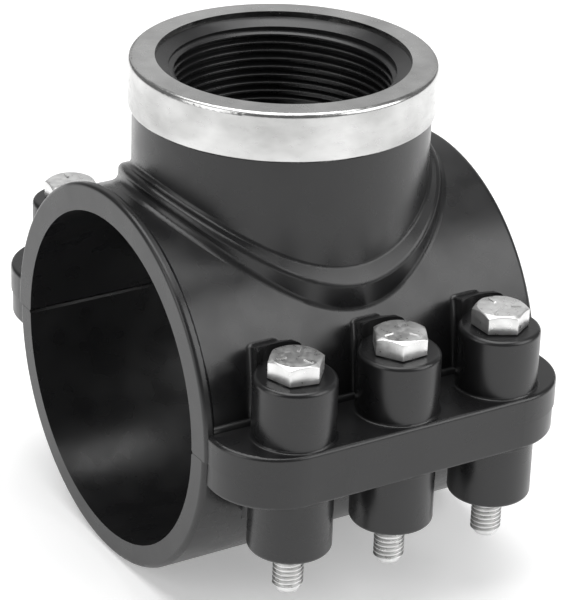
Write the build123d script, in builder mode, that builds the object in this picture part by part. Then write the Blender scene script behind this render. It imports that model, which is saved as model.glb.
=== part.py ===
from build123d import *
import os
from math import sqrt, tan, radians

# Tapping saddle for a plastic water pipe: two moulded half shells clamp round the pipe with
# six hexagon bolts, and a threaded outlet, banded in steel, stands on the upper half.
# Frame: the pipe runs along X, the outlet stands along +Z, and the origin is where the
# two axes cross. All sizes are in millimetres.

# Pipe run
pipe_diameter = 90.0
saddle_length = 101.8
upper_wall = 5.8
lower_wall = 6.3
parting_gap = 0.1
bore_edge_chamfer = 0.6
end_edge_radius = 2.0
lower_end_edge_radius = 1.4

# Raised rim round the front end of the upper half
rim_width = 2.8
rim_height = 1.5
rim_front_radius = 1.1
rim_back_radius = 0.7

# Bolting flanges
flange_thickness = 7.45
flange_margin = 11.8
flange_end_setback = 0.6
flange_corner_radius = 18.0
flange_edge_radius = 1.0
flange_root_radius = 1.6
lower_flange_inset = 0.4

# Bolt columns
bolts_per_side = 3
bolt_end_distance = 20.3
bolt_standoff = 9.45
upper_boss_radius = 10.7
upper_boss_height = 16.4
lower_boss_radius = 10.9
lower_boss_height = 16.8
boss_edge_radius = 1.2
upper_boss_root_radius = 0.7
lower_boss_root_radius = 0.5
bolt_hole_clearance = 0.4
web_width = 12.4
web_taper = 22.0
web_root_radius = 1.3
hood_height = 4.1
hood_fall = 23.0
hood_edge_radius = 0.8
spot_face_inset = 0.3
lower_web_setback = 2.0

# Hexagon bolts and nuts, M8
bolt_diameter = 8.0
bolt_length = 61.0
bolt_tip_chamfer = 1.0
head_height = 5.3
hexagon_flats = 13.0
crown_angle = 30.0
head_crown_inset = 0.35
front_head_angles = (48.5, 3.0, 31.8)
rear_head_angles = (22.0, 41.0, 10.0)
nut_height = 6.8
nut_bore_clearance = 0.08
nut_pocket_clearance = 0.15
nut_inset = 0.2

# Threaded outlet, 2 inch parallel pipe thread
thread_major_diameter = 59.7
thread_length = 24.0
outlet_radius = 39.15
outlet_height = 81.8
lead_in_diameter = 66.6
lead_in_depth = 1.5
passage_diameter = 52.0

# Collar that swells the shell round the foot of the outlet
collar_overhang = 3.35
collar_rise = 4.0
collar_edge_radius = 1.6
collar_root_radius = 2.2
outlet_root_radius = 1.2

# Steel band round the mouth of the outlet
band_thickness = 1.5
band_proud = 1.1
band_height = 13.3
band_inner_diameter = 66.7
band_edge_radius = 1.3
band_foot_radius = 0.9
band_clearance = 0.05

# Rubber seal set into the bore round the outlet passage
seal_inner_diameter = 60.0
seal_width = 5.0
seal_depth = 3.0
seal_recess = 0.2
seal_clearance = 0.1

# Values worked out from the sizes above
pipe_radius = pipe_diameter / 2
upper_radius = pipe_radius + upper_wall
lower_radius = pipe_radius + lower_wall
half_length = saddle_length / 2
half_gap = parting_gap / 2
rim_radius = upper_radius + rim_height
rim_root_radius = rim_height - rim_back_radius
rim_shoulder = rim_radius - rim_back_radius
rim_foot = rim_width - half_length + rim_root_radius
bolt_pitch = (saddle_length - 2 * bolt_end_distance) / (bolts_per_side - 1)
bolt_row = upper_radius + bolt_standoff
flange_half_width = bolt_row + flange_margin
flange_half_length = half_length - flange_end_setback
upper_boss_top = flange_thickness + upper_boss_height
lower_boss_end = flange_thickness + lower_boss_height
bolt_radius = bolt_diameter / 2
bolt_hole_radius = bolt_radius + bolt_hole_clearance
hood_top = upper_boss_top + hood_height
spot_face_radius = upper_boss_radius - spot_face_inset
collar_radius = outlet_radius + collar_overhang
collar_top_radius = upper_radius + collar_rise
thread_radius = thread_major_diameter / 2
passage_radius = passage_diameter / 2
lead_in_radius = lead_in_diameter / 2
band_radius = outlet_radius + band_proud
band_base = outlet_height - band_height
band_bore_radius = band_radius - band_thickness
band_rim_radius = band_inner_diameter / 2
neck_radius = band_bore_radius - band_clearance
neck_top = outlet_height - band_thickness - band_clearance
lead_in_base = neck_top - lead_in_depth
thread_base = lead_in_base - thread_length
seal_inner_radius = seal_inner_diameter / 2
seal_outer_radius = seal_inner_radius + seal_width
seal_face_radius = pipe_radius + seal_recess
seal_crown_radius = seal_face_radius + seal_depth
nut_seat = lower_boss_end - nut_inset - nut_height
web_reach = bolt_row - sqrt(upper_radius**2 - hood_top**2) + upper_wall / 2
web_span = hood_top + 2 * web_root_radius
web_start = sqrt(upper_boss_radius**2 - (web_width / 2) ** 2)
web_back = web_width / 2 - (web_reach - web_start) * tan(radians(web_taper))
web_front = web_width / 2 + web_start * tan(radians(web_taper))
web_outline = [
    (web_front, 0),
    (web_back, web_reach),
    (-web_back, web_reach),
    (-web_front, 0),
]
hood_back = hood_top - (web_reach - spot_face_radius) * tan(radians(hood_fall))
bore_ease_side = sqrt(2) * (bore_edge_chamfer + half_gap)
hexagon_corner = hexagon_flats / sqrt(3)
crown_start_radius = hexagon_flats / 2 - head_crown_inset
crown_drop = (hexagon_corner - crown_start_radius) * tan(radians(crown_angle))
upper_root_centre = Vector(
    sqrt((upper_radius + flange_root_radius) ** 2 - (flange_thickness + flange_root_radius) ** 2),
    flange_thickness + flange_root_radius,
)
upper_root_touch = upper_root_centre * (upper_radius / (upper_radius + flange_root_radius))
lower_root_centre = Vector(
    sqrt((lower_radius + flange_root_radius) ** 2 - (flange_thickness + flange_root_radius) ** 2),
    flange_thickness + flange_root_radius,
)
lower_root_touch = lower_root_centre * (lower_radius / (lower_radius + flange_root_radius))
bolt_columns = [bolt_pitch * (n - (bolts_per_side - 1) / 2) for n in range(bolts_per_side)]
bolt_places = [Location((x, -bolt_row, 0)) for x in bolt_columns]
bolt_places += [Location((x, bolt_row, 0), (0, 0, 180)) for x in bolt_columns]
head_angles = front_head_angles + rear_head_angles

# Radial plane that points down, so turned shells start and end their turn under the pipe
underside = Plane(origin=(0, 0, 0), x_dir=(1, 0, 0), z_dir=(0, 1, 0))

os.makedirs("parts", exist_ok=True)


# ---------------------------------------------------------------- forms cut and added below

# Space above the parting plane, and its mirror image below
with BuildPart() as upper_space:
    with BuildSketch(Plane.XY.offset(half_gap)):
        Rectangle(2 * saddle_length, 2 * saddle_length)
    extrude(amount=2 * outlet_height)

with BuildPart() as lower_space:
    with BuildSketch(Plane.XY.offset(-half_gap)):
        Rectangle(2 * saddle_length, 2 * saddle_length)
    extrude(amount=-2 * outlet_height)

# The pipe's bore through both halves, eased where it meets each parting face
with BuildPart() as pipe_bore:
    with BuildSketch(Plane.YZ):
        Circle(pipe_radius)
        with Locations((pipe_radius, 0), (-pipe_radius, 0)):
            Rectangle(bore_ease_side, bore_ease_side, rotation=45)
    extrude(amount=saddle_length, both=True)

# Fillers that round the inside corner between each shell and its flanges
with BuildPart() as upper_root_fillers:
    with BuildSketch(Plane.YZ.offset(-half_length + rim_width / 2)):
        with BuildLine():
            Polyline(
                (upper_root_touch.X, upper_root_touch.Y),
                (pipe_radius, flange_thickness),
                (pipe_radius, half_gap),
                (upper_root_centre.X, half_gap),
                (upper_root_centre.X, flange_thickness),
            )
            RadiusArc(
                (upper_root_centre.X, flange_thickness),
                (upper_root_touch.X, upper_root_touch.Y),
                -flange_root_radius,
            )
        make_face()
        mirror(about=Plane.YZ)
    extrude(amount=saddle_length - rim_width / 2 - end_edge_radius - flange_end_setback)

with BuildPart() as lower_root_fillers:
    with BuildSketch(Plane.YZ.offset(-half_length + end_edge_radius + flange_end_setback)):
        with BuildLine():
            Polyline(
                (lower_root_touch.X, -lower_root_touch.Y),
                (pipe_radius, -flange_thickness),
                (pipe_radius, -half_gap),
                (lower_root_centre.X, -half_gap),
                (lower_root_centre.X, -flange_thickness),
            )
            RadiusArc(
                (lower_root_centre.X, -flange_thickness),
                (lower_root_touch.X, -lower_root_touch.Y),
                flange_root_radius,
            )
        make_face()
        mirror(about=Plane.YZ)
    extrude(amount=saddle_length - 2 * (end_edge_radius + flange_end_setback))

# Upper bolt column: turned, with a rounded crown and a flared foot
with BuildPart() as upper_boss:
    with BuildSketch(Plane.XZ):
        with BuildLine():
            foot = upper_boss_radius + upper_boss_root_radius
            foot_level = flange_thickness + upper_boss_root_radius
            crown = upper_boss_radius - boss_edge_radius
            crown_level = upper_boss_top - boss_edge_radius
            Polyline((0, half_gap), (upper_boss_radius, half_gap), (foot, flange_thickness))
            RadiusArc((foot, flange_thickness), (upper_boss_radius, foot_level), upper_boss_root_radius)
            Line((upper_boss_radius, foot_level), (upper_boss_radius, crown_level))
            RadiusArc((upper_boss_radius, crown_level), (crown, upper_boss_top), -boss_edge_radius)
            Polyline((crown, upper_boss_top), (0, upper_boss_top), (0, half_gap))
        make_face()
    revolve(axis=Axis.Z)

# Lower bolt column, the same idea upside down
with BuildPart() as lower_boss:
    with BuildSketch(Plane.XZ):
        with BuildLine():
            foot = lower_boss_radius + lower_boss_root_radius
            foot_level = -flange_thickness - lower_boss_root_radius
            crown = lower_boss_radius - boss_edge_radius
            crown_level = boss_edge_radius - lower_boss_end
            Polyline((0, -half_gap), (lower_boss_radius, -half_gap), (foot, -flange_thickness))
            RadiusArc((foot, -flange_thickness), (lower_boss_radius, foot_level), -lower_boss_root_radius)
            Line((lower_boss_radius, foot_level), (lower_boss_radius, crown_level))
            RadiusArc((lower_boss_radius, crown_level), (crown, -lower_boss_end), boss_edge_radius)
            Polyline((crown, -lower_boss_end), (0, -lower_boss_end), (0, -half_gap))
        make_face()
    revolve(axis=Axis.Z)

# Web that ties an upper column to the shell: it narrows towards the shell, and its top
# rises behind the bolt head as a hood and falls away from there
with BuildPart() as upper_web_form:
    with BuildSketch(Plane.XY.offset(half_gap)):
        with BuildLine():
            Polyline(*web_outline, close=True)
        make_face()
    extrude(amount=hood_top - half_gap)
    with BuildSketch(Plane.YZ):
        with BuildLine():
            Polyline(
                (0, half_gap),
                (0, hood_top),
                (spot_face_radius, hood_top),
                (web_reach, hood_back),
                (web_reach, half_gap),
                close=True,
            )
        make_face()
    extrude(amount=web_width, both=True, mode=Mode.INTERSECT)
    fillet(faces().sort_by(Axis.Z)[-2:].edges().filter_by(Axis.X, reverse=True), radius=hood_edge_radius)

# The same web rounded into a short stretch of the shell, and hollowed for a socket spanner
with BuildPart() as upper_web:
    with BuildSketch(Plane.YZ.offset(-bolt_pitch / 2)):
        with Locations((bolt_row, 0)):
            Circle(upper_radius)
        with Locations((bolt_row, half_gap)):
            Rectangle(bolt_row, web_span, align=(Align.MAX, Align.MIN), mode=Mode.INTERSECT)
    extrude(amount=bolt_pitch)
    add(upper_web_form.part)
    fillet(edges(Select.NEW), radius=web_root_radius)
    with Locations((0, 0, upper_boss_top)):
        Cylinder(
            spot_face_radius,
            2 * hood_height,
            align=(Align.CENTER, Align.CENTER, Align.MIN),
            mode=Mode.SUBTRACT,
        )

# Web that ties a lower column to the shell, rounded into it in the same way
with BuildPart() as lower_web:
    with BuildSketch(Plane.YZ.offset(-bolt_pitch / 2)):
        with Locations((bolt_row, 0)):
            Circle(lower_radius)
        with Locations((bolt_row, -half_gap)):
            Rectangle(bolt_row, web_span, align=(Align.MAX, Align.MAX), mode=Mode.INTERSECT)
    extrude(amount=bolt_pitch)
    with BuildSketch(Plane.XY.offset(-half_gap)):
        with BuildLine():
            Polyline(*web_outline, close=True)
        make_face()
    extrude(amount=half_gap + lower_web_setback - lower_boss_end)
    fillet(edges(Select.NEW), radius=web_root_radius)

# Bolt hole through one column
with BuildPart() as bolt_hole:
    Cylinder(bolt_hole_radius, 4 * upper_boss_top)

# Hexagonal pocket that holds a nut from turning, open at the foot of a lower column
with BuildPart() as nut_pocket:
    with BuildSketch(Plane.XY.offset(-nut_seat)):
        RegularPolygon(hexagon_flats / 2 + nut_pocket_clearance, 6, major_radius=False)
    extrude(amount=-nut_height - 2 * nut_inset)

# Hexagon nut, crowned on both faces
with BuildPart() as nut_form:
    with BuildSketch(Plane.XY.offset(-nut_seat)):
        RegularPolygon(hexagon_flats / 2, 6, major_radius=False)
        Circle(bolt_radius + nut_bore_clearance, mode=Mode.SUBTRACT)
    extrude(amount=-nut_height)
    with BuildSketch(Plane.XZ):
        with BuildLine():
            Polyline(
                (0, -nut_seat),
                (crown_start_radius, -nut_seat),
                (hexagon_corner, -nut_seat - crown_drop),
                (hexagon_corner, -nut_seat - nut_height + crown_drop),
                (crown_start_radius, -nut_seat - nut_height),
                (0, -nut_seat - nut_height),
                close=True,
            )
        make_face()
    revolve(axis=Axis.Z, mode=Mode.INTERSECT)

# Hexagon bolt, crowned on top and chamfered at the tip; its seat is the column's crown
with BuildPart() as bolt_form:
    with BuildSketch(Plane.XY.offset(upper_boss_top)):
        RegularPolygon(hexagon_flats / 2, 6, major_radius=False)
    extrude(amount=head_height)
    with BuildSketch(Plane.XZ):
        with BuildLine():
            Polyline(
                (0, upper_boss_top),
                (hexagon_corner, upper_boss_top),
                (hexagon_corner, upper_boss_top + head_height - crown_drop),
                (crown_start_radius, upper_boss_top + head_height),
                (0, upper_boss_top + head_height),
                close=True,
            )
        make_face()
    revolve(axis=Axis.Z, mode=Mode.INTERSECT)
    with BuildSketch(Plane.XY.offset(upper_boss_top)):
        Circle(bolt_radius)
    extrude(amount=-bolt_length)
    chamfer(edges().group_by(Axis.Z)[0], length=bolt_tip_chamfer)

# Flange plates, with the edge away from the parting face rounded
with BuildPart() as upper_flange:
    with BuildSketch(Plane.XY.offset(half_gap)):
        RectangleRounded(2 * flange_half_length, 2 * flange_half_width, flange_corner_radius)
    extrude(amount=flange_thickness - half_gap)
    fillet(edges().group_by(Axis.Z)[-1], radius=flange_edge_radius)

with BuildPart() as lower_flange:
    with BuildSketch(Plane.XY.offset(-half_gap)):
        RectangleRounded(
            2 * (flange_half_length - lower_flange_inset),
            2 * (flange_half_width - lower_flange_inset),
            flange_corner_radius - lower_flange_inset,
        )
    extrude(amount=half_gap - flange_thickness)
    fillet(edges().group_by(Axis.Z)[0], radius=flange_edge_radius)

# Raised rim of the front end, turned about the pipe
with BuildPart() as front_rim:
    with BuildSketch(underside):
        with BuildLine():
            rim_front = -half_length
            rim_back = rim_width - half_length
            rim_crest = rim_radius - rim_front_radius
            Polyline((rim_back, pipe_radius), (rim_front, pipe_radius), (rim_front, rim_crest))
            RadiusArc((rim_front, rim_crest), (rim_front + rim_front_radius, rim_radius), rim_front_radius)
            Line((rim_front + rim_front_radius, rim_radius), (rim_back - rim_back_radius, rim_radius))
            RadiusArc((rim_back - rim_back_radius, rim_radius), (rim_back, rim_shoulder), rim_back_radius)
            RadiusArc((rim_back, rim_shoulder), (rim_foot, upper_radius), -rim_root_radius)
            Polyline((rim_foot, upper_radius), (rim_foot, pipe_radius), (rim_back, pipe_radius))
        make_face()
    revolve(axis=Axis.X)
    add(upper_space.part, mode=Mode.INTERSECT)

# Groove in the bore that the seal sits in
with BuildPart() as seal_groove:
    with BuildSketch(Plane.XY):
        Circle(seal_outer_radius + seal_clearance)
        Circle(seal_inner_radius - seal_clearance, mode=Mode.SUBTRACT)
    extrude(amount=outlet_height)
    with BuildSketch(Plane.YZ):
        Circle(seal_crown_radius + seal_clearance)
    extrude(amount=saddle_length, both=True, mode=Mode.INTERSECT)

# ---------------------------------------------------------------- upper half shell

with BuildPart() as upper_saddle:
    # Shell, filled for now to the pipe's axis, with its far outer edge rounded
    with BuildSketch(Plane.YZ.offset(-half_length)):
        Circle(upper_radius)
    extrude(amount=saddle_length)
    add(upper_space.part, mode=Mode.INTERSECT)
    fillet(edges().filter_by(GeomType.CIRCLE).sort_by(Axis.X)[-1], radius=end_edge_radius)

    # Collar: its wall is round about the outlet and its top follows the pipe
    Cylinder(collar_radius, outlet_height, align=(Align.CENTER, Align.CENTER, Align.MIN))
    fillet(edges(Select.NEW).filter_by(GeomType.BSPLINE), radius=collar_root_radius)
    with BuildSketch(Plane.YZ):
        Circle(collar_top_radius)
    extrude(amount=saddle_length, both=True, mode=Mode.INTERSECT)
    fillet(edges(Select.NEW).filter_by(GeomType.BSPLINE), radius=collar_edge_radius)

    # Outlet, with a thinner neck for the steel band
    Cylinder(outlet_radius, band_base, align=(Align.CENTER, Align.CENTER, Align.MIN))
    fillet(edges(Select.NEW).filter_by(GeomType.BSPLINE), radius=outlet_root_radius)
    with BuildSketch(Plane.XY.offset(band_base)):
        Circle(neck_radius)
    extrude(amount=neck_top - band_base)

    # Rim, flange and bolt columns
    add(front_rim.part)
    add(upper_flange.part)
    add(upper_root_fillers.part)
    with Locations(*bolt_places):
        add(upper_boss.part)
        add(upper_web.part)

    # Bore for the pipe, and the bolt holes
    add(pipe_bore.part, mode=Mode.SUBTRACT)
    with Locations(*bolt_places):
        add(bolt_hole.part, mode=Mode.SUBTRACT)

    # Passage down through the outlet: lead-in cone, threaded length, plain passage
    with BuildSketch(Plane.XZ):
        with BuildLine():
            Polyline(
                (0, 0),
                (passage_radius, 0),
                (passage_radius, thread_base),
                (thread_radius, thread_base),
                (thread_radius, lead_in_base),
                (lead_in_radius, neck_top),
                (0, neck_top),
                close=True,
            )
        make_face()
    revolve(axis=Axis.Z, mode=Mode.SUBTRACT)

    # Groove for the seal, sunk into the bore
    add(seal_groove.part, mode=Mode.SUBTRACT)

upper_saddle.part.label = "upper_saddle"
export_step(upper_saddle.part, "parts/upper_saddle.step")

# ---------------------------------------------------------------- lower half shell

with BuildPart() as lower_clamp:
    # Shell, filled for now to the pipe's axis, with both outer edges rounded
    with BuildSketch(Plane.YZ.offset(-half_length)):
        Circle(lower_radius)
    extrude(amount=saddle_length)
    add(lower_space.part, mode=Mode.INTERSECT)
    fillet(edges().filter_by(GeomType.CIRCLE), radius=lower_end_edge_radius)

    # Flange and bolt columns
    add(lower_flange.part)
    add(lower_root_fillers.part)
    with Locations(*bolt_places):
        add(lower_boss.part)
        add(lower_web.part)

    # Bore for the pipe, the bolt holes and the nut pockets
    add(pipe_bore.part, mode=Mode.SUBTRACT)
    with Locations(*bolt_places):
        add(bolt_hole.part, mode=Mode.SUBTRACT)
        add(nut_pocket.part, mode=Mode.SUBTRACT)

lower_clamp.part.label = "lower_clamp"
export_step(lower_clamp.part, "parts/lower_clamp.step")

# ---------------------------------------------------------------- outlet fittings

# Steel band: an angle section turned about the outlet, rolled over at its crown and foot
with BuildPart() as reinforcing_ring:
    with BuildSketch(Plane.XZ):
        with BuildLine():
            band_shoulder = outlet_height - band_edge_radius
            band_instep = band_base + band_foot_radius
            under_rim = outlet_height - band_thickness
            Line((band_rim_radius, outlet_height), (band_radius - band_edge_radius, outlet_height))
            RadiusArc(
                (band_radius - band_edge_radius, outlet_height),
                (band_radius, band_shoulder),
                band_edge_radius,
            )
            Line((band_radius, band_shoulder), (band_radius, band_instep))
            RadiusArc(
                (band_radius, band_instep),
                (band_radius - band_foot_radius, band_base),
                band_foot_radius,
            )
            Polyline(
                (band_radius - band_foot_radius, band_base),
                (band_bore_radius, band_base),
                (band_bore_radius, under_rim),
                (band_rim_radius, under_rim),
                (band_rim_radius, outlet_height),
            )
        make_face()
    revolve(axis=Axis.Z)

reinforcing_ring.part.label = "reinforcing_ring"
export_step(reinforcing_ring.part, "parts/reinforcing_ring.step")

# Rubber seal: a flat ring bent to the pipe's curve
with BuildPart() as outlet_gasket:
    with BuildSketch(Plane.XY):
        Circle(seal_outer_radius)
        Circle(seal_inner_radius, mode=Mode.SUBTRACT)
    extrude(amount=outlet_height)
    with BuildSketch(Plane.YZ):
        Circle(seal_crown_radius)
        Circle(seal_face_radius, mode=Mode.SUBTRACT)
    extrude(amount=saddle_length, both=True, mode=Mode.INTERSECT)

outlet_gasket.part.label = "outlet_gasket"
export_step(outlet_gasket.part, "parts/outlet_gasket.step")

# ---------------------------------------------------------------- fastenings

for index, (place, angle) in enumerate(zip(bolt_places, head_angles), start=1):
    with BuildPart() as clamp_bolt:
        with Locations(place):
            add(bolt_form.part, rotation=(0, 0, angle))
    clamp_bolt.part.label = f"clamp_bolt_{index}"
    export_step(clamp_bolt.part, f"parts/clamp_bolt_{index}.step")

    with BuildPart() as hex_nut:
        with Locations(place):
            add(nut_form.part)
    hex_nut.part.label = f"hex_nut_{index}"
    export_step(hex_nut.part, f"parts/hex_nut_{index}.step")
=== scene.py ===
"""Looks of a bolted tapping saddle: a black moulded clamp with a steel-banded, threaded outlet.

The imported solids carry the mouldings, the band, the seal and the nuts. This script dresses them,
and makes the outlet's thread and the marked, threaded bolts, which the solids leave plain.
"""

from __future__ import annotations

import logging
import math
from dataclasses import dataclass
from enum import Enum

import bmesh
import bpy
from mathutils import Matrix, Vector

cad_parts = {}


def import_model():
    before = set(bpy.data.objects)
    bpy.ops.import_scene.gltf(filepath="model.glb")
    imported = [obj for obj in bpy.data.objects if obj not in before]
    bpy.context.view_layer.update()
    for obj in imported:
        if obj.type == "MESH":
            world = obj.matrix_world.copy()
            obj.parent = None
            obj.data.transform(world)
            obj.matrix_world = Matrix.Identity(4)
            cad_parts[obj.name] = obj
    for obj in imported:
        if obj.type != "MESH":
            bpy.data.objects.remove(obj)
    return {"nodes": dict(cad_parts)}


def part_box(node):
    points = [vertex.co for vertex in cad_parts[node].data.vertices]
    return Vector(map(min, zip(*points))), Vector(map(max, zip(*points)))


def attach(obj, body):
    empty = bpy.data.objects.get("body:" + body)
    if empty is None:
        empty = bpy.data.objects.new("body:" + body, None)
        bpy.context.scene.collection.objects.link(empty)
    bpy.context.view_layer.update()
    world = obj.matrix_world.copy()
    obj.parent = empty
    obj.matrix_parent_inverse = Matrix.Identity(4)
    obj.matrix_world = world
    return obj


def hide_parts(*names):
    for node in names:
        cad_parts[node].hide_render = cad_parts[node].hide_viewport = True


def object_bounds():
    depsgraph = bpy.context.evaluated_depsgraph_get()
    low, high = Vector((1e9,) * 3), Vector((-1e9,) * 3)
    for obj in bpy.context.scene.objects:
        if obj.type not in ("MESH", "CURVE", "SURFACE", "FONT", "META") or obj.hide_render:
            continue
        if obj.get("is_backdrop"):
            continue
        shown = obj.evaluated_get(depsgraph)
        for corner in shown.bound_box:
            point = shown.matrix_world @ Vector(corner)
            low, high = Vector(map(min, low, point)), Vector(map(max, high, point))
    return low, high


LOG = logging.getLogger("tapping_saddle")
MM = 0.001
BOLT_COUNT = 6
FLOOR_GAP = 0.5 * MM
WHITE = (1.0, 1.0, 1.0, 1.0)

Triple = tuple[float, float, float]


class Side(Enum):
    """Which way a thread's ridge stands: out from a shaft, or into a bore."""

    OUT = 1
    IN = -1


# ---------------------------------------------------------------- finishes


@dataclass(frozen=True)
class Grain:
    """A noise pattern: its size across in metres, and the span of values that it is mapped to.

    The stretch is a factor on the coordinates along X, Y and Z, or None for an even grain.
    """

    size: float
    low: float = 0.0
    high: float = 1.0
    detail: float = 2.0
    stretch: Triple | None = None


@dataclass(frozen=True)
class Relief:
    """One layer of fine relief: its pattern, and its depth in metres."""

    grain: Grain
    depth: float


@dataclass(frozen=True)
class Finish:
    """A surface: two colours mixed by a cloud, an uneven roughness, and layers of relief."""

    name: str
    colours: tuple[Triple, Triple]
    cloud: Grain
    roughness: Grain
    reliefs: tuple[Relief, ...]
    metallic: float = 0.0
    ior: float = 1.5


MOULDED_PLASTIC = Finish(
    name="MouldedPlastic",
    colours=((0.008, 0.008, 0.0085), (0.012, 0.012, 0.0125)),
    cloud=Grain(18 * MM),
    roughness=Grain(9 * MM, low=0.24, high=0.34),
    reliefs=(Relief(Grain(0.5 * MM), 0.003 * MM), Relief(Grain(14 * MM), 0.035 * MM)),
)
BAND_STEEL = Finish(
    name="BandSteel",
    colours=((0.64, 0.64, 0.635), (0.38, 0.38, 0.375)),
    cloud=Grain(17 * MM, detail=3.0, stretch=(1.0, 1.0, 1.6)),
    roughness=Grain(3 * MM, low=0.15, high=0.29, detail=3.0, stretch=(1.0, 1.0, 3.0)),
    reliefs=(Relief(Grain(0.35 * MM), 0.004 * MM), Relief(Grain(6 * MM), 0.05 * MM)),
    metallic=1.0,
)
ZINC_PLATE = Finish(
    name="ZincPlate",
    colours=((0.66, 0.66, 0.655), (0.84, 0.84, 0.835)),
    cloud=Grain(3 * MM, detail=4.0),
    roughness=Grain(1.5 * MM, low=0.26, high=0.42),
    reliefs=(Relief(Grain(0.5 * MM), 0.003 * MM),),
    metallic=0.88,
)
SEAL_RUBBER = Finish(
    name="SealRubber",
    colours=((0.012, 0.012, 0.012), (0.02, 0.02, 0.02)),
    cloud=Grain(6 * MM),
    roughness=Grain(2 * MM, low=0.6, high=0.75),
    reliefs=(Relief(Grain(0.4 * MM), 0.006 * MM),),
)


class MaterialBook:
    """Writes one finish into the nodes of a material."""

    NOISE_LOW = 0.3
    NOISE_HIGH = 0.7
    MIX_FACTOR, MIX_FIRST, MIX_SECOND = 0, 6, 7
    MIX_RESULT = 2

    def __init__(self, finish: Finish) -> None:
        """Makes the material.

        Args:
            finish: what the material shows.
        """
        self.material = bpy.data.materials.new(finish.name)
        self.material.use_nodes = True
        self.tree = self.material.node_tree
        self.shader = self.tree.nodes["Principled BSDF"]
        self.shader.inputs["Metallic"].default_value = finish.metallic
        self.shader.inputs["IOR"].default_value = finish.ior
        self.place = self.tree.nodes.new("ShaderNodeTexCoord").outputs["Object"]
        self.give("Base Color", self.mix(self.noise(finish.cloud), finish.colours))
        self.give("Roughness", self.noise(finish.roughness))
        self.give("Normal", self.bump(finish.reliefs))

    def give(self, name: str, source: bpy.types.NodeSocket) -> None:
        """Links a socket into one of the shader's own."""
        self.tree.links.new(source, self.shader.inputs[name])

    def stretched(self, scale: Triple) -> bpy.types.NodeSocket:
        """Stretches the object coordinates along the axes.

        Args:
            scale: factor along X, Y and Z.

        Returns:
            The socket with the stretched coordinates.
        """
        mapping = self.tree.nodes.new("ShaderNodeMapping")
        mapping.inputs["Scale"].default_value = scale
        self.tree.links.new(self.place, mapping.inputs["Vector"])
        return mapping.outputs["Vector"]

    def noise(self, grain: Grain) -> bpy.types.NodeSocket:
        """Adds a noise pattern on the object coordinates.

        Args:
            grain: the pattern's size, span and stretch.

        Returns:
            The socket with the pattern's value, which may pass the ends of its span a little.
        """
        where = self.stretched(grain.stretch) if grain.stretch else self.place
        noise = self.tree.nodes.new("ShaderNodeTexNoise")
        noise.inputs["Scale"].default_value = 1.0 / grain.size
        noise.inputs["Detail"].default_value = grain.detail
        self.tree.links.new(where, noise.inputs["Vector"])
        spread = self.tree.nodes.new("ShaderNodeMapRange")
        spread.clamp = False
        spread.inputs["From Min"].default_value = self.NOISE_LOW
        spread.inputs["From Max"].default_value = self.NOISE_HIGH
        spread.inputs["To Min"].default_value = grain.low
        spread.inputs["To Max"].default_value = grain.high
        self.tree.links.new(noise.outputs["Fac"], spread.inputs["Value"])
        return spread.outputs["Result"]

    def mix(
        self, factor: bpy.types.NodeSocket, colours: tuple[Triple, Triple]
    ) -> bpy.types.NodeSocket:
        """Mixes two colours.

        Args:
            factor: 0 for the first colour, 1 for the second.
            colours: the two colours.

        Returns:
            The socket with the mixed colour.
        """
        node = self.tree.nodes.new("ShaderNodeMix")
        node.data_type = "RGBA"
        self.tree.links.new(factor, node.inputs[self.MIX_FACTOR])
        for index, colour in zip((self.MIX_FIRST, self.MIX_SECOND), colours):
            node.inputs[index].default_value = (*colour, 1.0)
        return node.outputs[self.MIX_RESULT]

    def bump(self, reliefs: tuple[Relief, ...]) -> bpy.types.NodeSocket:
        """Stacks layers of relief.

        Args:
            reliefs: the layers, at least one.

        Returns:
            The socket with the surface's normal.
        """
        normal = None
        for relief in reliefs:
            node = self.tree.nodes.new("ShaderNodeBump")
            node.inputs["Strength"].default_value = 1.0
            node.inputs["Distance"].default_value = relief.depth
            self.tree.links.new(self.noise(relief.grain), node.inputs["Height"])
            if normal is not None:
                self.tree.links.new(normal, node.inputs["Normal"])
            normal = node.outputs["Normal"]
        return normal


class Finishes:
    """The object's materials, made once each."""

    def __init__(self) -> None:
        """Makes every material."""
        self.plastic = MaterialBook(MOULDED_PLASTIC).material
        self.steel = MaterialBook(BAND_STEEL).material
        self.zinc = MaterialBook(ZINC_PLATE).material
        self.rubber = MaterialBook(SEAL_RUBBER).material


# ---------------------------------------------------------------- meshes


def turn_outwards(mesh: bpy.types.Mesh) -> None:
    """Turns every closed part of a mesh so that its faces point outwards.

    Args:
        mesh: the mesh, changed in place.
    """
    work = bmesh.new()
    work.from_mesh(mesh)
    bmesh.ops.recalc_face_normals(work, faces=work.faces)
    work.to_mesh(mesh)
    work.free()


def soften(mesh: bpy.types.Mesh, corner_angle: float) -> None:
    """Shades a mesh smooth, apart from corners sharper than an angle in degrees."""
    mesh.shade_smooth()
    mesh.set_sharp_from_angle(angle=math.radians(corner_angle))


def show(name: str, mesh: bpy.types.Mesh) -> bpy.types.Object:
    """Puts a mesh in the scene.

    Args:
        name: what its object is called.
        mesh: the mesh.

    Returns:
        The new object.
    """
    piece = bpy.data.objects.new(name, mesh)
    bpy.context.scene.collection.objects.link(piece)
    return piece


# ---------------------------------------------------------------- repeated forms


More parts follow.
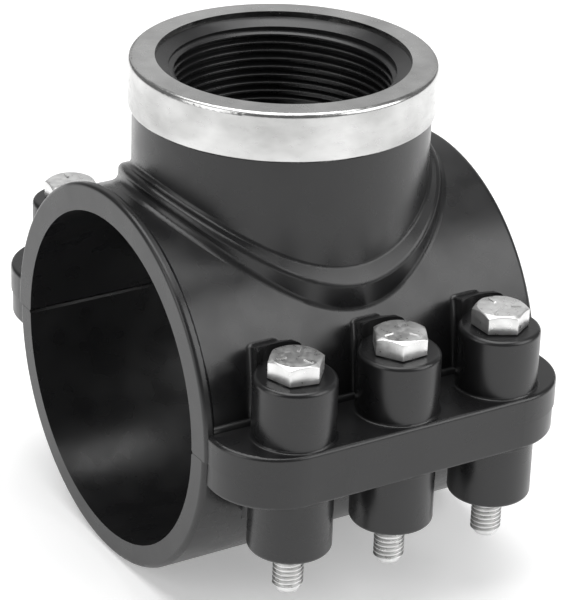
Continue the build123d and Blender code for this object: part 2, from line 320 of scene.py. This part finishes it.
class NodeTree:
    """A Geometry Nodes tree with named inputs, which ends in real faces of one finish."""

    def __init__(self, name: str) -> None:
        """Starts a tree with a geometry input and output.

        Args:
            name: the tree's name.
        """
        self.group = bpy.data.node_groups.new(name, "GeometryNodeTree")
        self.sockets: dict[str, str] = {}
        self.add_input("Geometry", "NodeSocketGeometry")
        self.group.interface.new_socket(
            "Geometry", in_out="OUTPUT", socket_type="NodeSocketGeometry"
        )
        self.source = self.group.nodes.new("NodeGroupInput")
        self.target = self.group.nodes.new("NodeGroupOutput")

    def add_input(self, name: str, kind: str) -> None:
        """Adds a named input with the given type of socket."""
        socket = self.group.interface.new_socket(name, in_out="INPUT", socket_type=kind)
        self.sockets[name] = socket.identifier

    def take(self, name: str) -> bpy.types.NodeSocket:
        """Returns the socket that gives a named input inside the tree."""
        return self.source.outputs[name]

    def node(self, kind: str, **inputs: object) -> bpy.types.Node:
        """Adds a node and fills its inputs.

        Args:
            kind: the node's type.
            inputs: sockets to link or values to set, by input name with _ for a space.

        Returns:
            The new node.
        """
        node = self.group.nodes.new(kind)
        for name, value in inputs.items():
            self.fill(node.inputs[name.replace("_", " ")], value)
        return node

    def fill(self, socket: bpy.types.NodeSocket, value: object) -> None:
        """Fills one input.

        Args:
            socket: the input.
            value: a socket to link, or a value to set.
        """
        if isinstance(value, bpy.types.NodeSocket):
            self.group.links.new(value, socket)
        else:
            socket.default_value = value

    def math(self, operation: str, first: object, second: object) -> bpy.types.NodeSocket:
        """Works out a sum on two numbers.

        Args:
            operation: the Math node's operation.
            first: a number or a socket.
            second: a number or a socket.

        Returns:
            The socket with the result.
        """
        node = self.group.nodes.new("ShaderNodeMath")
        node.operation = operation
        self.fill(node.inputs[0], first)
        self.fill(node.inputs[1], second)
        return node.outputs[0]

    def vector(self, **parts: object) -> bpy.types.NodeSocket:
        """Returns a vector made from X, Y and Z, each a number or a socket."""
        return self.node("ShaderNodeCombineXYZ", **parts).outputs[0]

    def close(self, geometry: bpy.types.NodeSocket) -> None:
        """Joins what the tree made to what came in, makes it real and gives it the finish.

        Args:
            geometry: the socket with what the tree made.
        """
        join = self.group.nodes.new("GeometryNodeJoinGeometry")
        self.group.links.new(self.take("Geometry"), join.inputs[0])
        self.group.links.new(geometry, join.inputs[0])
        real = self.node("GeometryNodeRealizeInstances", Geometry=join.outputs[0])
        dressed = self.node(
            "GeometryNodeSetMaterial",
            Geometry=real.outputs[0],
            Material=self.take("Finish"),
        )
        self.group.links.new(dressed.outputs[0], self.target.inputs[0])

    def grow(
        self, mesh: bpy.types.Mesh, name: str, values: dict[str, object]
    ) -> bpy.types.Mesh:
        """Runs the tree on a mesh.

        Args:
            mesh: the mesh that goes in.
            name: what the result is called.
            values: the named inputs' values.

        Returns:
            The result as a plain mesh, with its faces turned outwards.
        """
        carrier = show(name, mesh)
        modifier = carrier.modifiers.new(self.group.name, "NODES")
        modifier.node_group = self.group
        for label, value in values.items():
            modifier[self.sockets[label]] = value
        graph = bpy.context.evaluated_depsgraph_get()
        grown = bpy.data.meshes.new_from_object(carrier.evaluated_get(graph))
        carrier.modifiers.remove(modifier)
        bpy.data.objects.remove(carrier)
        grown.name = name
        turn_outwards(grown)
        return grown


@dataclass(frozen=True)
class Ridge:
    """Sizes of one thread's ridge, in metres, and the shares of its pitch that it takes up."""

    side: Side
    root_radius: float
    height: float
    pitch: float
    turns: float
    start: float
    points: int = 96
    base_share: float = 0.86
    crest_share: float = 0.2
    rounding_share: float = 0.08
    sink: float = 0.1 * MM

    def values(self, finish: bpy.types.Material) -> dict[str, object]:
        """Lists the thread tree's inputs for this ridge.

        Args:
            finish: the ridge's material.

        Returns:
            The values by input name.
        """
        return {
            "Radius": self.root_radius,
            "Pitch": self.pitch,
            "Turns": self.turns,
            "Start": self.start,
            "Depth": self.height + self.sink,
            "Lift": (self.height - self.sink) / 2 * self.side.value,
            "Tilt": -math.pi / 2 * self.side.value,
            "Base Width": self.pitch * self.base_share,
            "Crest Width": self.pitch * self.crest_share,
            "Rounding": self.pitch * self.rounding_share,
            "Points": self.points,
            "Finish": finish,
        }


class ThreadTree(NodeTree):
    """Winds a ridge into a right-hand thread that fades in and out over part of a turn."""

    NUMBERS = (
        "Radius",
        "Pitch",
        "Turns",
        "Start",
        "Depth",
        "Lift",
        "Tilt",
        "Base Width",
        "Crest Width",
        "Rounding",
    )
    FADE_TURNS = 0.35
    LEAST_SIZE = 0.03
    ROUNDING_STEPS = 2

    def __init__(self) -> None:
        """Builds the tree."""
        super().__init__("ThreadRidge")
        for name in self.NUMBERS:
            self.add_input(name, "NodeSocketFloat")
        self.add_input("Points", "NodeSocketInt")
        self.add_input("Finish", "NodeSocketMaterial")
        self.close(self.ridge())

    def helix(self) -> bpy.types.NodeSocket:
        """Makes the curve that the ridge follows.

        Returns:
            The socket with the curve.
        """
        spiral = self.node(
            "GeometryNodeCurveSpiral",
            Resolution=self.take("Points"),
            Rotations=self.take("Turns"),
            Start_Radius=self.take("Radius"),
            End_Radius=self.take("Radius"),
            Height=self.math("MULTIPLY", self.take("Pitch"), self.take("Turns")),
            Reverse=True,
        )
        placed = self.node(
            "GeometryNodeTransform",
            Geometry=spiral.outputs[0],
            Translation=self.vector(Z=self.take("Start")),
        )
        upright = self.node("GeometryNodeSetCurveNormal", Curve=placed.outputs[0])
        upright.mode = "Z_UP"
        return upright.outputs[0]

    def section(self) -> bpy.types.NodeSocket:
        """Makes the ridge's section, with its root at the thread's root radius.

        Returns:
            The socket with the section's outline.
        """
        outline = self.group.nodes.new("GeometryNodeCurvePrimitiveQuadrilateral")
        outline.mode = "TRAPEZOID"
        self.fill(outline.inputs["Height"], self.take("Depth"))
        self.fill(outline.inputs["Bottom Width"], self.take("Base Width"))
        self.fill(outline.inputs["Top Width"], self.take("Crest Width"))
        self.fill(outline.inputs["Offset"], 0.0)
        rounded = self.node(
            "GeometryNodeFilletCurve",
            Curve=outline.outputs[0],
            Radius=self.take("Rounding"),
        )
        rounded.mode = "POLY"
        self.fill(rounded.inputs["Count"], self.ROUNDING_STEPS)
        turned = self.node(
            "GeometryNodeTransform",
            Geometry=rounded.outputs[0],
            Translation=self.vector(X=self.take("Lift")),
            Rotation=self.vector(Z=self.take("Tilt")),
        )
        return turned.outputs[0]

    def fading(self) -> bpy.types.NodeSocket:
        """Works out the section's size along the helix, thinned to almost nothing at both ends.

        Returns:
            The socket with the size.
        """
        along = self.group.nodes.new("GeometryNodeSplineParameter").outputs["Factor"]
        left = self.math("SUBTRACT", 1.0, along)
        nearest = self.math("MINIMUM", along, left)
        turns_in = self.math("MULTIPLY", nearest, self.take("Turns"))
        risen = self.math("DIVIDE", turns_in, self.FADE_TURNS)
        return self.math("MAXIMUM", self.math("MINIMUM", risen, 1.0), self.LEAST_SIZE)

    def ridge(self) -> bpy.types.NodeSocket:
        """Makes the ridge's skin.

        Returns:
            The socket with the skin.
        """
        skin = self.node(
            "GeometryNodeCurveToMesh",
            Curve=self.helix(),
            Profile_Curve=self.section(),
            Scale=self.fading(),
            Fill_Caps=True,
        )
        return skin.outputs[0]


@dataclass(frozen=True)
class HeadMarks:
    """Sizes of the raised bars on a bolt head, in metres."""

    count: int
    radius: float
    length: float
    width: float
    depth: float
    level: float

    def values(self, finish: bpy.types.Material) -> dict[str, object]:
        """Lists the head mark tree's inputs for these bars.

        Args:
            finish: the bars' material.

        Returns:
            The values by input name.
        """
        return {
            "Count": self.count,
            "Radius": self.radius,
            "Length": self.length,
            "Width": self.width,
            "Depth": self.depth,
            "Level": self.level,
            "Finish": finish,
        }


class HeadMarkTree(NodeTree):
    """Sets equal raised bars round a bolt head's top, each pointing at its axis."""

    LEVEL_PLANE = (1.0, 1.0, 0.0)

    def __init__(self) -> None:
        """Builds the tree."""
        super().__init__("HeadMarks")
        self.add_input("Count", "NodeSocketInt")
        for name in ("Radius", "Length", "Width", "Depth", "Level"):
            self.add_input(name, "NodeSocketFloat")
        self.add_input("Finish", "NodeSocketMaterial")
        bars = self.node(
            "GeometryNodeInstanceOnPoints",
            Points=self.places(),
            Instance=self.bar(),
            Rotation=self.facing(),
        )
        self.close(bars.outputs[0])

    def places(self) -> bpy.types.NodeSocket:
        """Makes the circle on which the bars stand.

        Returns:
            The socket with the circle.
        """
        circle = self.node(
            "GeometryNodeCurvePrimitiveCircle",
            Resolution=self.take("Count"),
            Radius=self.take("Radius"),
        )
        circle.mode = "RADIUS"
        placed = self.node(
            "GeometryNodeTransform",
            Geometry=circle.outputs[0],
            Translation=self.vector(Z=self.take("Level")),
        )
        return placed.outputs[0]

    def bar(self) -> bpy.types.NodeSocket:
        """Makes one bar, lying along X.

        Returns:
            The socket with the bar.
        """
        size = self.vector(
            X=self.take("Length"), Y=self.take("Width"), Z=self.take("Depth")
        )
        return self.node("GeometryNodeMeshCube", Size=size).outputs[0]

    def facing(self) -> bpy.types.NodeSocket:
        """Works out the turn that points a bar away from the axis.

        Returns:
            The socket with the turn.
        """
        place = self.group.nodes.new("GeometryNodeInputPosition").outputs[0]
        outward = self.node("ShaderNodeVectorMath", Vector=place)
        outward.operation = "MULTIPLY"
        self.fill(outward.inputs[1], self.LEVEL_PLANE)
        turn = self.node("FunctionNodeAlignRotationToVector", Vector=outward.outputs[0])
        turn.axis = "X"
        return turn.outputs[0]


# ---------------------------------------------------------------- pieces


@dataclass
class PackedSolids:
    """The mouldings, the band, the seal and the nuts as packed, which only need finishes."""

    nodes: dict[str, bpy.types.Object]
    finishes: Finishes

    def finish_of(self, name: str) -> bpy.types.Material:
        """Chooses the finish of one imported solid.

        Args:
            name: the solid's name.

        Returns:
            The material; bolts and nuts are plated, as is all that isn't named here.
        """
        own = {
            "upper_saddle": self.finishes.plastic,
            "lower_clamp": self.finishes.plastic,
            "reinforcing_ring": self.finishes.steel,
            "outlet_gasket": self.finishes.rubber,
        }
        return own.get(name, self.finishes.zinc)

    def dress(self) -> None:
        """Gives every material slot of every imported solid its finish."""
        for name, node in self.nodes.items():
            material = self.finish_of(name)
            if not node.material_slots:
                node.data.materials.append(material)
            for slot in node.material_slots:
                slot.material = material
            LOG.info("%s: %s", name, material.name)


@dataclass
class OutletThread:
    """The pipe thread moulded inside the outlet's mouth."""

    threads: ThreadTree
    finish: bpy.types.Material
    top: float
    major_radius: float = 29.85 * MM
    height: float = 1.48 * MM
    pitch: float = 2.309 * MM
    length: float = 24.0 * MM
    mouth_depth: float = 3.05 * MM
    turns_left_out: float = 0.4
    corner_angle: float = 35.0

    def build(self) -> None:
        """Winds the ridge down from the lead-in cone and rides it on the upper half."""
        turns = self.length / self.pitch - self.turns_left_out
        ridge = Ridge(
            side=Side.IN,
            root_radius=self.major_radius,
            height=self.height,
            pitch=self.pitch,
            turns=turns,
            start=self.top - self.mouth_depth - turns * self.pitch,
        )
        blank = bpy.data.meshes.new("OutletThreadBlank")
        mesh = self.threads.grow(blank, "outlet_thread", ridge.values(self.finish))
        soften(mesh, self.corner_angle)
        piece = show("outlet_thread", mesh)
        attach(piece, "upper")
        LOG.info("%s: %d faces", piece.name, len(mesh.polygons))


@dataclass
class ClampBolt:
    """A marked hexagon bolt with a rolled thread, made once and set in six places.

    Lengths are in metres and angles in degrees. The bolt stands on its axis, with the seat of its
    head at level 0.
    """

    threads: ThreadTree
    marks: HeadMarkTree
    finish: bpy.types.Material
    diameter: float = 8.0 * MM
    pitch: float = 1.25 * MM
    across_flats: float = 13.0 * MM
    head_height: float = 5.3 * MM
    crown_inset: float = 0.35 * MM
    crown_angle: float = 30.0
    collar_height: float = 0.3 * MM
    collar_radius: float = 6.0 * MM
    length: float = 61.0 * MM
    thread_length: float = 22.0 * MM
    thread_depth: float = 0.7 * MM
    thread_points: int = 48
    tip_chamfer: float = 0.9 * MM
    tip_slope: float = 0.7
    edge_radius: float = 0.12 * MM
    edge_segments: int = 2
    edge_angle: float = 25.0
    corner_angle: float = 30.0
    mark_count: int = 3
    mark_radius_share: float = 0.3
    mark_length_share: float = 0.2
    mark_width_share: float = 0.055
    mark_depth: float = 0.5 * MM
    steps: int = 96

    def core_radius(self) -> float:
        """Returns the radius of the thread's root."""
        return self.diameter / 2 - self.thread_depth

    def crown_radius(self) -> float:
        """Returns the radius of the head's flat top."""
        return self.across_flats / 2 - self.crown_inset

    def flats_radius(self, angle: float) -> float:
        """Returns the hexagon's radius at an angle, with a corner at angle 0."""
        sixth = math.pi / 3
        return self.across_flats / 2 / math.cos(angle % sixth - sixth / 2)

    def ring(self, level: float, radius: float | None = None) -> list[Vector]:
        """Makes one level of the bolt's skin.

        Args:
            level: height above the head's seat.
            radius: the level's radius where it is round, or None where it is hexagonal.

        Returns:
            The level's points.
        """
        points = []
        for step in range(self.steps):
            angle = 2 * math.pi * step / self.steps
            reach = self.flats_radius(angle) if radius is None else radius
            points.append(Vector((reach * math.cos(angle), reach * math.sin(angle), level)))
        return points

    def crown_edge(self) -> list[Vector]:
        """Makes the line where the turned crown meets the flats.

        Returns:
            The line's points.
        """
        slope = math.tan(math.radians(self.crown_angle))
        edge = self.ring(self.head_height)
        for point in edge:
            point.z -= (point.xy.length - self.crown_radius()) * slope
        return edge

    def rings(self) -> list[list[Vector]]:
        """Lists the levels of the bolt's skin, from the head's top to the tip.

        Returns:
            The levels.
        """
        shank = self.diameter / 2
        core = self.core_radius()
        crown = self.crown_radius()
        runout = self.thread_length - self.length
        return [
            self.ring(self.head_height, crown / 2),
            self.ring(self.head_height, crown),
            self.crown_edge(),
            self.ring(self.collar_height),
            self.ring(self.collar_height, self.collar_radius),
            self.ring(0.0, self.collar_radius),
            self.ring(0.0, shank),
            self.ring(runout + self.thread_depth, shank),
            self.ring(runout, core),
            self.ring(self.tip_chamfer - self.length, core),
            self.ring(-self.length, core - self.tip_chamfer * self.tip_slope),
        ]

    def skin(self) -> bpy.types.Mesh:
        """Makes the bolt without its thread and head marks.

        Returns:
            A closed mesh.
        """
        work = bmesh.new()
        loops = [[work.verts.new(point) for point in ring] for ring in self.rings()]
        for upper, lower in zip(loops, loops[1:]):
            for step in range(self.steps):
                after = (step + 1) % self.steps
                work.faces.new((upper[step], lower[step], lower[after], upper[after]))
        work.faces.new(loops[0])
        work.faces.new(reversed(loops[-1]))
        mesh = bpy.data.meshes.new("ClampBoltSkin")
        work.to_mesh(mesh)
        work.free()
        return mesh

    def eased(self, mesh: bpy.types.Mesh) -> bpy.types.Mesh:
        """Eases a mesh's corners.

        Args:
            mesh: the mesh that goes in.

        Returns:
            A new mesh with rounded corners.
        """
        carrier = show("BoltCarrier", mesh)
        bevel = carrier.modifiers.new("EasedCorners", "BEVEL")
        bevel.width = self.edge_radius
        bevel.segments = self.edge_segments
        bevel.limit_method = "ANGLE"
        bevel.angle_limit = math.radians(self.edge_angle)
        graph = bpy.context.evaluated_depsgraph_get()
        result = bpy.data.meshes.new_from_object(carrier.evaluated_get(graph))
        bpy.data.objects.remove(carrier)
        return result

    def threaded(self, mesh: bpy.types.Mesh) -> bpy.types.Mesh:
        """Winds the thread round the bolt's core.

        Args:
            mesh: the bolt without its thread.

        Returns:
            A new mesh with the thread.
        """
        tip_gap = self.tip_chamfer / 2
        ridge = Ridge(
            side=Side.OUT,
            root_radius=self.core_radius(),
            height=self.thread_depth,
            pitch=self.pitch,
            turns=(self.thread_length - tip_gap) / self.pitch,
            start=tip_gap - self.length + self.pitch / 2,
            points=self.thread_points,
        )
        return self.threads.grow(mesh, "ThreadedBolt", ridge.values(self.finish))

    def marked(self, mesh: bpy.types.Mesh) -> bpy.types.Mesh:
        """Sets the raised bars on the bolt's head.

        Args:
            mesh: the bolt without its marks.

        Returns:
            A new mesh with the marks.
        """
        marks = HeadMarks(
            count=self.mark_count,
            radius=self.across_flats * self.mark_radius_share,
            length=self.across_flats * self.mark_length_share,
            width=self.across_flats * self.mark_width_share,
            depth=self.mark_depth,
            level=self.head_height,
        )
        return self.marks.grow(mesh, "MarkedBolt", marks.values(self.finish))

    def head_turn(self, node: bpy.types.Object, axis: Vector) -> float:
        """Finds how a packed bolt's head is turned.

        Args:
            node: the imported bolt.
            axis: a point on its axis.

        Returns:
            The angle of the head's farthest corner about the axis, in radians.
        """
        ways = (vertex.co - axis for vertex in node.data.vertices)
        corner = max(ways, key=lambda way: way.xy.length)
        return math.atan2(corner.y, corner.x)

    def build(self, nodes: dict[str, bpy.types.Object]) -> None:
        """Sets a bolt in every packed bolt's place, to be shown in its stead.

        Args:
            nodes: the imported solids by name.
        """
        pattern = self.marked(self.threaded(self.eased(self.skin())))
        soften(pattern, self.corner_angle)
        for number in range(1, BOLT_COUNT + 1):
            name = f"clamp_bolt_{number}"
            low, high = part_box(name)
            axis = (low + high) / 2
            turn = Matrix.Rotation(self.head_turn(nodes[name], axis), 4, "Z")
            seat = Vector((axis.x, axis.y, high.z - self.head_height))
            mesh = pattern.copy()
            mesh.transform(Matrix.Translation(seat) @ turn)
            piece = show(f"hexagon_bolt_{number}", mesh)
            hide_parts(name)
            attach(piece, f"bolt_{number}")
            LOG.info("%s: %d faces", piece.name, len(mesh.polygons))


# ---------------------------------------------------------------- studio


@dataclass(frozen=True)
class Viewpoint:
    """The camera: where it stands and its lens in millimetres, its turn in degrees."""

    place: Triple = (-363.924, -587.831, 345.914)
    azimuth: float = -31.959
    elevation: float = 25.797
    roll: float = 2.110
    lens: float = 171.2475
    sensor_width: float = 36.0
    nearest: float = 10.0
    farthest: float = 20000.0

    def turn(self) -> Matrix:
        """Works out the camera's turn.

        Returns:
            A matrix whose columns point right, up and back.
        """
        azimuth = math.radians(self.azimuth)
        elevation = math.radians(self.elevation)
        roll = math.radians(self.roll)
        back = Vector(
            (
                math.sin(azimuth) * math.cos(elevation),
                -math.cos(azimuth) * math.cos(elevation),
                math.sin(elevation),
            )
        )
        right = Vector((math.cos(azimuth), math.sin(azimuth), 0.0))
        up = back.cross(right)
        rolled_right = right * math.cos(roll) + up * math.sin(roll)
        rolled_up = up * math.cos(roll) - right * math.sin(roll)
        return Matrix((rolled_right, rolled_up, back)).transposed()


@dataclass(frozen=True)
class Softbox:
    """A rectangular lamp: its place and size in metres, its power in watts."""

    name: str
    place: Triple
    size: tuple[float, float]
    power: float


SOFTBOXES = (
    Softbox("TopSoftbox", (0.0, 0.2, 1.5), (1.5, 1.5), 24.0),
    Softbox("BackSoftbox", (1.1, 1.7, 0.9), (3.0, 1.3), 5.0),
    Softbox("RightSoftbox", (1.05, -1.15, 1.0), (1.3, 1.3), 17.0),
    Softbox("LeftSoftbox", (-1.4, 0.0, 0.7), (0.9, 1.2), 7.0),
)


@dataclass
class Studio:
    """Camera, floor and lamps. The floor glows a little, so that its shadow stays pale."""

    floor_level: float
    floor_reach: float = 6.0
    floor_colour: Triple = (0.85, 0.85, 0.85)
    floor_roughness: float = 0.9
    floor_glow: float = 0.32
    air_glow: float = 0.2
    lit_point: Triple = (0.0, 0.0, 0.015)
    viewpoint: Viewpoint = Viewpoint()
    softboxes: tuple[Softbox, ...] = SOFTBOXES

    def build_camera(self) -> None:
        """Stands the camera at the catalogue view."""
        view = self.viewpoint
        data = bpy.data.cameras.new("Camera")
        data.sensor_width = view.sensor_width
        data.lens = view.lens
        data.clip_start = view.nearest * MM
        data.clip_end = view.farthest * MM
        camera = bpy.data.objects.new("Camera", data)
        place = Vector(view.place) * MM
        camera.matrix_world = Matrix.Translation(place) @ view.turn().to_4x4()
        bpy.context.scene.collection.objects.link(camera)
        bpy.context.scene.camera = camera

    def floor_paper(self) -> bpy.types.Material:
        """Makes the floor's matt pale paper.

        Returns:
            The material.
        """
        material = bpy.data.materials.new("FloorPaper")
        material.use_nodes = True
        sockets = material.node_tree.nodes["Principled BSDF"].inputs
        sockets["Base Color"].default_value = (*self.floor_colour, 1.0)
        sockets["Emission Color"].default_value = WHITE
        sockets["Emission Strength"].default_value = self.floor_glow
        sockets["Roughness"].default_value = self.floor_roughness
        sockets["Specular IOR Level"].default_value = 0.0
        return material

    def build_floor(self) -> None:
        """Lays a wide floor under the lower half and lets it go with that half.

        The saddle then stands on the floor however far it is open.
        """
        reach, level = self.floor_reach, self.floor_level
        corners = [
            (-reach, -reach, level),
            (reach, -reach, level),
            (reach, reach, level),
            (-reach, reach, level),
        ]
        mesh = bpy.data.meshes.new("Floor")
        mesh.from_pydata(corners, [], [(0, 1, 2, 3)])
        mesh.materials.append(self.floor_paper())
        floor = show("Floor", mesh)
        floor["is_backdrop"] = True
        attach(floor, "lower")

    def hang(self, box: Softbox) -> None:
        """Hangs one softbox, turned to the lit point and unseen by the camera.

        Args:
            box: the softbox.
        """
        data = bpy.data.lights.new(box.name, "AREA")
        data.shape = "RECTANGLE"
        data.size, data.size_y = box.size
        data.energy = box.power
        lamp = bpy.data.objects.new(box.name, data)
        lamp.location = Vector(box.place)
        lamp.visible_camera = False
        lamp.rotation_mode = "QUATERNION"
        aim = Vector(self.lit_point) - lamp.location
        lamp.rotation_quaternion = aim.to_track_quat("-Z", "Y")
        bpy.context.scene.collection.objects.link(lamp)

    def light_air(self) -> None:
        """Fills the air round the object with even white light."""
        world = bpy.data.worlds.new("StudioAir")
        world.use_nodes = True
        background = world.node_tree.nodes["Background"]
        background.inputs["Color"].default_value = WHITE
        background.inputs["Strength"].default_value = self.air_glow
        bpy.context.scene.world = world

    def build(self) -> None:
        """Builds the whole studio."""
        self.build_camera()
        self.build_floor()
        for box in self.softboxes:
            self.hang(box)
        self.light_air()
        bpy.context.scene.view_settings.view_transform = "Standard"


# ---------------------------------------------------------------- the whole scene


def main() -> None:
    """Builds the studio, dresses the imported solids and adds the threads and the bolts."""
    logging.basicConfig(level=logging.INFO, format="%(name)s: %(message)s")
    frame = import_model()
    solid_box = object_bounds()
    Studio(floor_level=solid_box[0].z - FLOOR_GAP).build()
    finishes = Finishes()
    nodes = frame["nodes"]
    PackedSolids(nodes, finishes).dress()
    threads = ThreadTree()
    OutletThread(threads, finishes.plastic, top=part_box("reinforcing_ring")[1].z).build()
    ClampBolt(threads, HeadMarkTree(), finishes.zinc).build(nodes)


if __name__ == "__main__":
    main()
